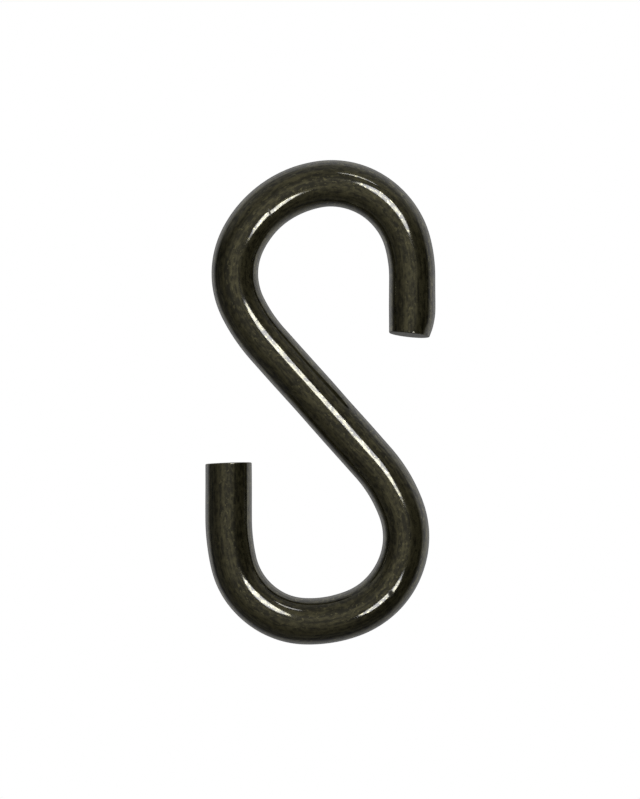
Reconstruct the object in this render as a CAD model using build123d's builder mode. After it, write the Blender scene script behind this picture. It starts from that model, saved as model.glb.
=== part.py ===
"""S hook: one length of round steel bar, sheared to length and bent into two opposed hooks.

The hook hangs in the XZ plane with +Z up and its front towards -Y. The origin is the upper
seat, the highest point inside the upper hook, where a rail or a ring bears.
All lengths are millimetres and all angles degrees.
"""

import os

from build123d import *

# Bar stock
bar_diameter = 7.94

# Bends of the upper hook along the bar's centreline, in order from its leg to the diagonal
upper_easing_radius = 22.95  # slack, where the leg lay past the former
upper_easing_angle = 16.3
upper_shoulder_radius = 13.47
upper_shoulder_overrun_angle = 8.5  # how far the shoulder runs on past the crest
upper_crown_radius = 17.56  # slack again, between two tight bends
upper_crown_angle = 53.8
upper_heel_radius = 13.03
upper_heel_angle = 54.7
upper_entry_radius = 29.1  # from the diagonal into the hook

# Bends of the lower hook, in order from the diagonal to its leg
lower_entry_radius = 25.66
lower_entry_angle = 20.5
lower_heel_radius = 13.98
lower_heel_angle = 90.6
lower_crown_radius = 21.28
lower_crown_angle = 22.1
lower_shoulder_radius = 12.99
lower_easing_radius = 31.36
lower_easing_angle = 13.7

# Straight runs, each leg up to where its cut crosses the centreline
diagonal_lean_angle = 41.77  # from the vertical
diagonal_length = 26.79
upper_leg_length = 9.63
lower_leg_length = 9.66

# Sheared ends: the blade leaves each face a little askew, and it rolled the upper one's outer side in
roll_length = 4.7  # how far back from the cut the rolling begins
roll_depth = 1.0
roll_shares = (0, 0.35, 0.7, 1, 1.3)  # sections of the rolled end, the last one past the cut
upper_slant_angle = 5.7  # in the hook's plane, with the outer side left longer
lower_slant_angle = -2.0
upper_turn_angle = 4.7  # out of the hook's plane, with the face turned to the front
lower_turn_angle = -2.0
rim_chamfer = 0.4

# Worked out from the sizes above
bar_radius = bar_diameter / 2
crest = (0, bar_radius)  # the top of the centreline
quarter_turn_angle = 90
half_turn_angle = 2 * quarter_turn_angle
upper_shoulder_angle = quarter_turn_angle - upper_easing_angle  # from the crest; sets the leg upright
upper_entry_angle = (
    quarter_turn_angle
    + diagonal_lean_angle
    - upper_shoulder_overrun_angle
    - upper_crown_angle
    - upper_heel_angle
)
lower_shoulder_angle = (
    half_turn_angle
    + diagonal_lean_angle
    - lower_entry_angle
    - lower_heel_angle
    - lower_crown_angle
    - lower_easing_angle
)

# The side of each leg that faces away from the hook
upper_outer_side = Vector(1, 0, 0)
lower_outer_side = Vector(-1, 0, 0)


def bend(before, radius, angle):
    """Bend the bar on from the end of what comes before: to the left for a positive angle."""
    return JernArc(before @ 1, before % 1, radius, angle)


def run(before, length):
    """Carry the bar straight on from the end of what comes before."""
    return Line(before @ 1, before @ 1 + before % 1 * length)


# Centreline of the upper hook and the diagonal, from the crest down to each end
with BuildLine(Plane.XZ) as upper_line:
    upper_shoulder = JernArc(crest, (1, 0), upper_shoulder_radius, -upper_shoulder_angle)
    upper_easing = bend(upper_shoulder, upper_easing_radius, -upper_easing_angle)
    upper_leg = run(upper_easing, upper_leg_length - roll_length)

    upper_overrun = JernArc(crest, (-1, 0), upper_shoulder_radius, upper_shoulder_overrun_angle)
    upper_crown = bend(upper_overrun, upper_crown_radius, upper_crown_angle)
    upper_heel = bend(upper_crown, upper_heel_radius, upper_heel_angle)
    upper_entry = bend(upper_heel, upper_entry_radius, upper_entry_angle)
    diagonal = run(upper_entry, diagonal_length)

# Centreline of the lower hook, from the diagonal round to its leg, with its leg left long for the cut
with BuildLine(Plane.XZ) as lower_line:
    lower_entry = bend(diagonal, lower_entry_radius, -lower_entry_angle)
    lower_heel = bend(lower_entry, lower_heel_radius, -lower_heel_angle)
    lower_crown = bend(lower_heel, lower_crown_radius, -lower_crown_angle)
    lower_shoulder = bend(lower_crown, lower_shoulder_radius, -lower_shoulder_angle)
    lower_easing = bend(lower_shoulder, lower_easing_radius, -lower_easing_angle)
    lower_leg = run(lower_easing, lower_leg_length + bar_radius)


def across(leg, outer_side, distance):
    """Plane across a leg, this far along it: X to the outer side, Y to the front, Z out."""
    return Plane(origin=leg @ 0 + leg % 0 * distance, x_dir=outer_side, z_dir=leg % 0)


def bend_bar(line, leg, outer_side):
    """Sweep the bar along a line that ends in a leg, with the section's seam on the hook's inside."""
    with BuildSketch(across(leg, -outer_side, leg.length)) as section:
        Circle(bar_radius)
    sweep(section.sketch, line.wire())


def roll_end(leg, outer_side):
    """Carry a leg on past its cut, its outer side curving in and its other sides straight."""
    sections = []
    for share in roll_shares:
        rolled_in = roll_depth * share**2
        with BuildSketch(across(leg, outer_side, leg.length + roll_length * share)) as section:
            with Locations((-rolled_in / 2, 0)):
                Ellipse(bar_radius, bar_radius - rolled_in / 2, rotation=quarter_turn_angle)
        sections.append(section.sketch)
    loft(sections)


def shear(leg, outer_side, leg_length, slant_angle, turn_angle):
    """Cut a leg off at its length, askew, and break the cut's rim."""
    square_cut = across(leg, outer_side, leg_length)
    with BuildSketch(square_cut.rotated((-turn_angle, -slant_angle, 0))) as blade:
        Circle(bar_diameter)
    extrude(blade.sketch, bar_diameter, mode=Mode.SUBTRACT)
    cut_face = s_hook.faces().filter_by(GeomType.PLANE).sort_by_distance(square_cut.origin)[0]
    chamfer(cut_face.edges(), rim_chamfer)


with BuildPart() as s_hook:
    bend_bar(upper_line, upper_leg, upper_outer_side)
    bend_bar(lower_line, lower_leg, lower_outer_side)
    roll_end(upper_leg, upper_outer_side)
    shear(upper_leg, upper_outer_side, upper_leg_length, upper_slant_angle, upper_turn_angle)
    shear(lower_leg, lower_outer_side, lower_leg_length, lower_slant_angle, lower_turn_angle)

s_hook.part.label = "s_hook"

os.makedirs("parts", exist_ok=True)
export_step(s_hook.part, "parts/s_hook.step")
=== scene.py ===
"""Looks of the S hook: its bent bar, its antique bronze finish and a plain studio round it.

The bar is modelled straight, as it left the shears, and then bent along its centreline.
The hook hangs in the XZ plane with its front towards -Y. All lengths are metres.
"""

from math import cos, exp, pi, radians, sin, tan

import bpy
from mathutils import Matrix, Vector, noise


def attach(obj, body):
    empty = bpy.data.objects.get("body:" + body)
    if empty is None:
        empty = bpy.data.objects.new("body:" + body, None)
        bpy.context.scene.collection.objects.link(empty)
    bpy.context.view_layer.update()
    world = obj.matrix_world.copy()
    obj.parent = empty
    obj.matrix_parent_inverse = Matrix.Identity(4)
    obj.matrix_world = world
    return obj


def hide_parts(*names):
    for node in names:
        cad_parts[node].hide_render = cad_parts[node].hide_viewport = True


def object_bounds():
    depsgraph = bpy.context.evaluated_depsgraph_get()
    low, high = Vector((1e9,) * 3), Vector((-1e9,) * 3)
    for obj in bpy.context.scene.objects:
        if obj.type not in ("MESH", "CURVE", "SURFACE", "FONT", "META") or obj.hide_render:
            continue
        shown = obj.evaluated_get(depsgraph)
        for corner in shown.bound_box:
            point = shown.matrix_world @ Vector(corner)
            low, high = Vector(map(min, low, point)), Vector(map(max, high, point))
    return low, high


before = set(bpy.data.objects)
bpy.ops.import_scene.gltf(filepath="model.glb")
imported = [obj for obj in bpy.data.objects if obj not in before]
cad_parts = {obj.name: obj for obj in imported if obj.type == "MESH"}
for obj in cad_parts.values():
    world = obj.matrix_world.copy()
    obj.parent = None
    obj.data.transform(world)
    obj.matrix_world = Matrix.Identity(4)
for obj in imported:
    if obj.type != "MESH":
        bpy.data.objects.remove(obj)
cad_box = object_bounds()

# Bar stock
bar_radius = 0.00397

# Upper hook, from its cut to the diagonal: its leg, then the (radius, angle in degrees) of each bend
upper_leg_length = 0.00983  # 0.2 mm longer than the solid's, to fit the photo
upper_easing = (0.02295, 16.3)
upper_shoulder = (0.01347, 73.7)  # up to the crest
upper_overrun = (0.01347, 8.5)
upper_crown = (0.01756, 53.8)
upper_heel = (0.01303, 54.7)
upper_entry = (0.0291, 14.77)

# Diagonal, then the lower hook down to its cut
diagonal_length = 0.02679
lower_entry = (0.02566, 20.5)
lower_heel = (0.01398, 90.6)
lower_crown = (0.02128, 22.1)
lower_shoulder = (0.01299, 74.87)
lower_easing = (0.03136, 13.7)
lower_leg_length = 0.00966

# Sheared ends: the blade leaves each face askew, and it rolled the upper one's outer side in
spare_length = 0.002  # bar left past each cut until it is sheared
roll_length = 0.0047
roll_depth = 0.0009
upper_slant = radians(6.2)
lower_slant = radians(-2.0)
upper_turn = radians(5.2)
lower_turn = radians(-2.0)
rim_radius = 0.00018
rim_ring = 0.0004  # ring that keeps the rim's rounding from spreading along the bar

# Unevenness of the surface: (depth, length along the bar, width round it) of its shallow waves
waves = (
    (0.00005, 0.0075, 0.0032),
    (0.000003, 0.0016, 0.0008),
)
# Creases that the bending tool's edge left on the front:
# (distance from the upper cut, offset to the left, half length along the bar)
creases = (
    (0.0458, 0.0008, 0.0003),
    (0.1231, 0.0010, 0.0007),
)
crease_width = 0.0009  # half its width across the bar
crease_slant = radians(25)
crease_dullness = 0.45
crease_tilt = 0.05  # how far the surface tips over before and after it, as a slope
tilt_reach = 0.006
tilt_width = 0.0016

# Bronze finish: dark patina, thinner in places, and the metal that the brush laid bare in it
patina = (0.006, 0.0054, 0.0026, 1)
thin_patina = (0.056, 0.051, 0.026, 1)
bare_bronze = (0.2, 0.191, 0.132, 1)
lacquer_ior = 1.55
lacquer_roughness = 0.09
sheared_roughness = 0.38
bar_wear = 0.42  # most that the metal shows through
sheared_wear = 0.8
brush_depth = 0.000001

# Pattern of the finish: (length along the bar, width round it) of each kind of mark
grain_size = (0.0011, 0.0005)
hairline_size = (0.011, 0.0004)
cloud_size = (0.005, 0.002)
fleck_size = (0.0007, 0.0004)
brush_size = (0.003, 0.0004)
grain_share = 0.5
hairline_share = 0.35
cloud_share = 0.15
# How worn the patina is where it starts to thin or to bare the metal, and where it is done
thin_range = (0.36, 0.74)
bare_range = (0.43, 0.64)
fleck_range = (0.58, 0.68)
fleck_wear = 0.8
crease_core = 0.2  # share of a crease that is dull all over

# Mesh of the bar
sides = 128
ring_cuts = 22  # cuts across the bar, each of its spans then cut as often again
roll_rings = 9
rim_segments = 4
crease_angle = radians(40)
path_resolution = 96
end_facing = 0.9  # least part of a face's normal along the bar, for a face of its end

# Photograph: the frame's height on the hook's plane, and the middle of the frame
view_height = 0.13643
view_middle = Vector((-0.0019, 0, -0.03293))
camera_distance = 3.0
sensor_height = 0.036

# Studio
light_distance = 2.0
lamp_colour = (0.98, 0.98, 1)
white = (1, 1, 1, 1)
room_colour = (1, 0.955, 0.75, 1)
floor_drop = 0.037  # from the hook's lowest point down to the floor
floor_radius = 0.3
floor_colour = (0.8, 0.8, 0.8, 1)
floor_glow = 0.52

# Room that the lacquer mirrors: directions and strengths
paper_way = (0.2, 1, 0.08)
paper_light = 0.76
paper_middle_share = 0.3  # straight behind the hook, which shades it
paper_foot_share = 0.5
ceiling_light = 0.3
glow_way = (-0.08, -0.98, 0.15)
glow_light = 0.5
glow_tightness = 3.5
glow_right_share = 0.2
table_way = (-0.5, 0, -0.85)
table_light = 0.08
dim_light = 0.02

# Soft lights: name, clock angle, sine of the angle off the camera's line, length, width, radiance
soft_lights = (
    ("upper_softbox", 49.2, 0.41, 0.35, 0.38, 11),
    ("lower_softbox", -48.3, 0.41, 0.28, 0.28, 11),
    ("overhead_strip", 72, 0.82, 0.37, 0.07, 8),
)


def select_edges(piece, wanted):
    """Select the edges of a piece whose two ends answer the question, and stay in edit mode."""
    bpy.context.tool_settings.mesh_select_mode = (False, True, False)
    bpy.ops.object.mode_set(mode="EDIT")
    bpy.ops.mesh.select_all(action="DESELECT")
    bpy.ops.object.mode_set(mode="OBJECT")
    for edge in piece.data.edges:
        one, other = (piece.data.vertices[index].co for index in edge.vertices)
        edge.select = wanted(one, other)
    bpy.ops.object.mode_set(mode="EDIT")


def select_faces(piece, wanted):
    """Select the faces of a piece that answer the question, and stay in edit mode."""
    bpy.context.tool_settings.mesh_select_mode = (False, False, True)
    bpy.ops.object.mode_set(mode="EDIT")
    bpy.ops.mesh.select_all(action="DESELECT")
    bpy.ops.object.mode_set(mode="OBJECT")
    for face in piece.data.polygons:
        face.select = wanted(face)
    bpy.ops.object.mode_set(mode="EDIT")


def lies_along(one, other):
    """True for an edge that runs along the straight bar."""
    return abs(one.x - other.x) > abs(one.y - other.y) + abs(one.z - other.z)


class Centreline:
    """The bar's path, drawn on from its upper cut: x to the right and y up, as seen from the front."""

    def __init__(self, place, heading):
        self.place = Vector(place)
        self.heading = heading
        self.length = 0
        self.stops = [(self.place, heading)]
        self.reaches = []  # of the two handles of each span

    def ahead(self):
        return Vector((cos(self.heading), sin(self.heading)))

    def stop(self, length, reach):
        self.length += length
        self.stops.append((self.place, self.heading))
        self.reaches.append(reach)

    def run(self, length):
        """Draw straight on."""
        self.place = self.place + length * self.ahead()
        self.stop(length, length / 3)

    def bend(self, radius, degrees):
        """Draw an arc: to the left for a positive angle and to the right for a negative one."""
        angle = radians(degrees)
        side = 1 if angle > 0 else -1
        before = self.ahead()
        self.heading += angle
        after = self.ahead()
        self.place = self.place + side * radius * Vector((after.y - before.y, before.x - after.x))
        self.stop(radius * abs(angle), 4 / 3 * tan(abs(angle) / 4) * radius)

    def curve(self, origin):
        """The path as a curve object that stands in the hook's plane, moved by origin."""
        curve = bpy.data.curves.new("centreline", "CURVE")
        curve.dimensions = "2D"
        curve.resolution_u = path_resolution
        points = curve.splines.new("BEZIER").bezier_points
        points.add(len(self.stops) - 1)
        reaches_back = [0] + self.reaches
        reaches_on = self.reaches + [0]
        for point, (place, heading), back, on in zip(points, self.stops, reaches_back, reaches_on):
            ahead = Vector((cos(heading), sin(heading)))
            point.co = (place + origin).to_3d()
            point.handle_left = (place + origin - back * ahead).to_3d()
            point.handle_right = (place + origin + on * ahead).to_3d()
        line = bpy.data.objects.new("centreline", curve)
        line.rotation_euler = (pi / 2, 0, 0)
        bpy.context.collection.objects.link(line)
        return line


def draw_centreline():
    """Draw the whole bar's path with its crest over the upper seat, and measure it."""
    path = Centreline((0, 0), pi / 2)
    path.run(spare_length + upper_leg_length)
    path.bend(*upper_easing)
    path.bend(*upper_shoulder)
    crest = path.place
    for radius, degrees in (upper_overrun, upper_crown, upper_heel, upper_entry):
        path.bend(radius, degrees)
    path.run(diagonal_length)
    for radius, degrees in (lower_entry, lower_heel, lower_crown, lower_shoulder, lower_easing):
        path.bend(radius, -degrees)
    path.run(lower_leg_length + spare_length)
    return path.curve(Vector((0, bar_radius)) - crest), path.length


def draw_out_end(bar, cut, way, outer, depth):
    """Draw one end of the straight bar out past its cut, with its outer side rolled in."""
    shares = [ring / roll_rings for ring in range(roll_rings - 1)] + [1 + 1.5 / roll_rings]
    height = 1
    for before, share in zip(shares, shares[1:]):
        select_faces(bar, lambda face: face.normal.x * way > end_facing)
        step = way * roll_length * (share - before)
        bpy.ops.mesh.extrude_region_move(TRANSFORM_OT_translate={"value": (step, 0, 0)})
        new_height = 1 - depth * share**2 / (2 * bar_radius)
        bpy.ops.transform.resize(
            value=(1, 1, new_height / height),
            center_override=(cut, 0, -outer * bar_radius),
        )
        height = new_height


def shear_end(bar, cut, way, outer, slant, turn):
    """Cut a ring and then one end of the straight bar, both askew, and round the cut's rim."""
    bpy.ops.object.mode_set(mode="EDIT")
    for place, cuts_off in ((cut - way * rim_ring, False), (cut, True)):
        bpy.ops.mesh.select_all(action="SELECT")
        bpy.ops.mesh.bisect(
            plane_co=(place, 0, 0),
            plane_no=(way, -tan(turn), -outer * tan(slant)),
            use_fill=cuts_off,
            clear_outer=cuts_off,
        )
    select_faces(bar, lambda face: face.normal.x * way > end_facing)
    bar.active_material_index = 1
    bpy.ops.object.material_slot_assign()
    bpy.ops.mesh.region_to_loop()
    bpy.ops.mesh.bevel(offset=rim_radius, segments=rim_segments, affect="EDGES", material=1)
    bpy.ops.object.mode_set(mode="OBJECT")


def crease_rise(x, z, along, left, half_length):
    """Rise of the front beside a crease: it tips one way before the crease and the other way after it."""
    before = spare_length + along - x
    fade = max(0, 1 - abs(before) / tilt_reach)
    way = before / (abs(before) + half_length)
    sideways = z - left
    return crease_tilt * way * fade * sideways * exp(-((sideways / tilt_width) ** 2))


def make_uneven(bar):
    """Give the straight bar's round its shallow waves and its creases."""
    for vertex in bar.data.vertices:
        x, y, z = vertex.co
        outward = Vector((0, y, z))
        if outward.length < bar_radius - 1.5 * rim_radius:
            continue
        rise = 0
        for depth, length, width in waves:
            rise += depth * noise.noise(Vector((x / length, y / width, z / width)))
        if y < 0:
            rise += sum(crease_rise(x, z, *crease) for crease in creases)
        vertex.co += rise * outward.normalized()


def make_hook():
    """Model the straight bar, shear its ends, note each point's place on it and bend it."""
    line, length = draw_centreline()
    upper_cut = spare_length
    lower_cut = length - spare_length
    start = upper_cut + roll_length
    end = lower_cut - roll_length
    bpy.ops.object.select_all(action="DESELECT")
    bpy.ops.mesh.primitive_cylinder_add(
        vertices=sides,
        radius=bar_radius,
        depth=end - start,
        end_fill_type="NGON",
        rotation=(0, pi / 2, 0),
        location=((start + end) / 2, 0, 0),
    )
    hook = bpy.context.object
    hook.name = "hook"
    hook.data.materials.append(bronze_finish("bronzed_steel", lacquer_roughness, bar_wear))
    hook.data.materials.append(bronze_finish("sheared_steel", sheared_roughness, sheared_wear))
    bpy.ops.object.transform_apply(location=True, rotation=True, scale=True)
    for time in range(2):
        select_edges(hook, lies_along)
        bpy.ops.mesh.subdivide(number_cuts=ring_cuts)
    draw_out_end(hook, upper_cut, -1, -1, roll_depth)
    draw_out_end(hook, lower_cut, 1, 1, 0)
    shear_end(hook, upper_cut, -1, -1, upper_slant, upper_turn)
    shear_end(hook, lower_cut, 1, 1, lower_slant, lower_turn)

    straight_place = [value for vertex in hook.data.vertices for value in vertex.co]
    place = hook.data.attributes.new("bar_place", "FLOAT_VECTOR", "POINT")
    place.data.foreach_set("vector", straight_place)
    make_uneven(hook)
    bend = hook.modifiers.new("bend", "CURVE")
    bend.object = line
    bend.deform_axis = "POS_X"
    bpy.ops.object.modifier_apply(modifier=bend.name)
    bpy.data.objects.remove(line)
    bpy.ops.object.shade_smooth_by_angle(angle=crease_angle)
    return hook


class Socket:
    """A value on its way through a node tree: sums and products with it add Math nodes."""

    def __init__(self, sheet, socket):
        self.sheet = sheet
        self.socket = socket

    def maths(self, operation, first, second):
        return self.sheet.add("Math", {"operation": operation}, {0: first, 1: second})

    def __add__(self, other):
        return self.maths("ADD", self, other)

    def __sub__(self, other):
        return self.maths("SUBTRACT", self, other)

    def __rsub__(self, other):
        return self.maths("SUBTRACT", other, self)

    def __mul__(self, other):
        return self.maths("MULTIPLY", self, other)

    def __pow__(self, other):
        return self.maths("POWER", self, other)

    def or_more(self, other):
        return self.maths("MAXIMUM", self, other)

    __radd__ = __add__
    __rmul__ = __mul__


class Sheet:
    """A node tree, cleared, with one way to add a node to it."""

    def __init__(self, owner):
        owner.use_nodes = True
        self.tree = owner.node_tree
        self.tree.nodes.clear()

    def add(self, kind, settings, inputs, output=0):
        """Add a shader node, give it its settings and then its inputs, and hand on one of its outputs."""
        node = self.tree.nodes.new("ShaderNode" + kind)
        for name, value in settings.items():
            setattr(node, name, value)
        for name, value in inputs.items():
            if isinstance(value, Socket):
                self.tree.links.new(value.socket, node.inputs[name])
            else:
                node.inputs[name].default_value = value
        if node.outputs:
            return Socket(self, node.outputs[output])

    def ramp(self, value, start, end, low=0, high=1):
        """Ease from low to high while the value goes from start to end."""
        inputs = {"Value": value, "From Min": start, "From Max": end, "To Min": low, "To Max": high}
        return self.add("MapRange", {"interpolation_type": "SMOOTHSTEP"}, inputs)

    def blend(self, share, first, second):
        """Go from the first colour to the second."""
        return self.add("Mix", {"data_type": "RGBA"}, {"Factor": share, 6: first, 7: second}, output=2)


def bronze_finish(name, roughness, wear):
    """Dark antique bronze, brushed along the bar, under a clear gloss lacquer."""
    material = bpy.data.materials.new(name)
    sheet = Sheet(material)
    place = sheet.add("Attribute", {"attribute_name": "bar_place"}, {}, output="Vector")

    def streaks(length, width, detail):
        scale = (1 / length, 1 / width, 1 / width)
        stretched = sheet.add("Mapping", {}, {"Vector": place, "Scale": scale})
        return sheet.add("TexNoise", {}, {"Vector": stretched, "Scale": 1, "Detail": detail})

    def crease(along, left, half_length):
        """1 in the middle of one of the bending tool's creases, easing to 0 at its edge."""
        near = sheet.add("Mapping", {"vector_type": "TEXTURE"}, {
            "Vector": place,
            "Location": (spare_length + along, -bar_radius, left),
            "Rotation": (0, crease_slant, 0),
            "Scale": (half_length, crease_width, crease_width),
        })
        away = sheet.add("VectorMath", {"operation": "LENGTH"}, {0: near}, output="Value")
        return sheet.ramp(away, crease_core, 1, 1, 0)

    grain = streaks(*grain_size, detail=4)
    hairlines = streaks(*hairline_size, detail=2)
    clouds = streaks(*cloud_size, detail=1)
    worn = grain_share * grain + hairline_share * hairlines + cloud_share * clouds
    thin = sheet.ramp(worn, *thin_range)
    flecks = sheet.ramp(streaks(*fleck_size, detail=2), *fleck_range, 0, fleck_wear)
    bare = sheet.ramp(worn, *bare_range, 0, wear).or_more(flecks)
    dull = roughness + crease_dullness * crease(*creases[0]).or_more(crease(*creases[1]))
    brushed = sheet.add("Bump", {}, {
        "Strength": 1,
        "Distance": brush_depth,
        "Height": streaks(*brush_size, detail=2),
    })
    lacquered = sheet.add("BsdfPrincipled", {}, {
        "Base Color": sheet.blend(thin, patina, thin_patina),
        "Roughness": dull,
        "IOR": lacquer_ior,
        "Normal": brushed,
    })
    bronze = sheet.add("BsdfPrincipled", {}, {
        "Base Color": bare_bronze,
        "Metallic": 1,
        "Roughness": dull,
        "Normal": brushed,
    })
    surface = sheet.add("MixShader", {}, {0: bare, 1: lacquered, 2: bronze})
    sheet.add("OutputMaterial", {}, {"Surface": surface})
    return material


def light_world():
    """White paper behind the hook and a dim warm room in front; the camera sees white all round."""
    world = bpy.data.worlds.new("studio")
    bpy.context.scene.world = world
    sheet = Sheet(world)
    direction = sheet.add("TexCoord", {}, {}, output="Generated")

    def towards(*way):
        inputs = {0: direction, 1: way}
        return sheet.add("VectorMath", {"operation": "DOT_PRODUCT"}, inputs, output="Value")

    up = towards(0, 0, 1)
    paper = sheet.ramp(towards(*paper_way), 0.05, 0.5, 0, paper_light)
    behind_hook = sheet.ramp(towards(0, 1, 0), 0.72, 1, 1, paper_middle_share)
    foot = sheet.ramp(up, -0.9, -0.1, paper_foot_share, 1)
    ceiling = sheet.ramp(up, 0.2, 0.7, 0, ceiling_light)
    glow = glow_light * towards(*glow_way).or_more(0) ** glow_tightness
    front = glow * sheet.ramp(towards(1, 0, 0), 0.1, 0.7, 1, glow_right_share)
    table = sheet.ramp(towards(*table_way), 0, 0.8, 0, table_light)
    room = dim_light + (paper * behind_hook * foot).or_more(ceiling).or_more(front + table)
    from_camera = sheet.add("LightPath", {}, {}, output="Is Camera Ray")
    through = sheet.add("LightPath", {}, {}, output="Is Transmission Ray")
    seen = from_camera.or_more(through)
    warm = (1 - seen) * sheet.ramp(towards(0, -1, 0), 0, 0.5)
    background = sheet.add("Background", {}, {
        "Color": sheet.blend(warm, white, room_colour),
        "Strength": seen + (1 - seen) * room,
    })
    sheet.add("OutputWorld", {}, {"Surface": background})


def make_floor():
    """A pale floor under the hook, which keeps its shadow and which the lacquer doesn't mirror."""
    lowest = cad_box[0][2]
    bpy.ops.mesh.primitive_circle_add(
        vertices=sides,
        radius=floor_radius,
        fill_type="NGON",
        location=(view_middle.x, 0, lowest - floor_drop),
    )
    floor = bpy.context.object
    floor.name = "floor"
    floor.visible_glossy = False
    floor.visible_diffuse = False
    material = bpy.data.materials.new("floor")
    sheet = Sheet(material)
    lit = sheet.add("BsdfDiffuse", {}, {"Color": floor_colour})
    glow = sheet.add("Emission", {}, {"Color": white, "Strength": floor_glow})
    surface = sheet.add("AddShader", {}, {0: lit, 1: glow})
    sheet.add("OutputMaterial", {}, {"Surface": surface})
    floor.data.materials.append(material)


def soft_light(name, clock, off_axis, length, width, radiance):
    """A soft light off to one side of the camera's line to the hook.

    It stands at the clock angle, in degrees from the right and upwards, and off_axis is the sine of
    its angle from that line. Its length, round that line, and its width are angles in radians.
    """
    angle = radians(clock)
    forward = -((1 - off_axis**2) ** 0.5)
    out = Vector((off_axis * cos(angle), forward, off_axis * sin(angle)))
    along = Vector((-sin(angle), 0, cos(angle)))
    lamp = bpy.data.lights.new(name, "AREA")
    lamp.shape = "ELLIPSE"
    lamp.size = length * light_distance
    lamp.size_y = width * light_distance
    lamp.energy = radiance * pi * (pi / 4 * lamp.size * lamp.size_y)
    lamp.color = lamp_colour
    stand = bpy.data.objects.new(name, lamp)
    turn = Matrix((along, out.cross(along), out)).transposed()
    stand.matrix_world = Matrix.Translation(view_middle + light_distance * out) @ turn.to_4x4()
    bpy.context.collection.objects.link(stand)


def make_camera():
    """Look along +Y at the hook, with the photograph's frame."""
    lens = bpy.data.cameras.new("camera")
    lens.lens = 1000 * sensor_height * camera_distance / view_height
    camera = bpy.data.objects.new("camera", lens)
    camera.location = view_middle - Vector((0, camera_distance, 0))
    camera.rotation_euler = (pi / 2, 0, 0)
    bpy.context.collection.objects.link(camera)
    bpy.context.scene.camera = camera


hook = make_hook()
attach(hook, "root")
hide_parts("s_hook")

light_world()
for light in soft_lights:
    soft_light(*light)
make_floor()
make_camera()
bpy.context.scene.view_settings.view_transform = "Standard"
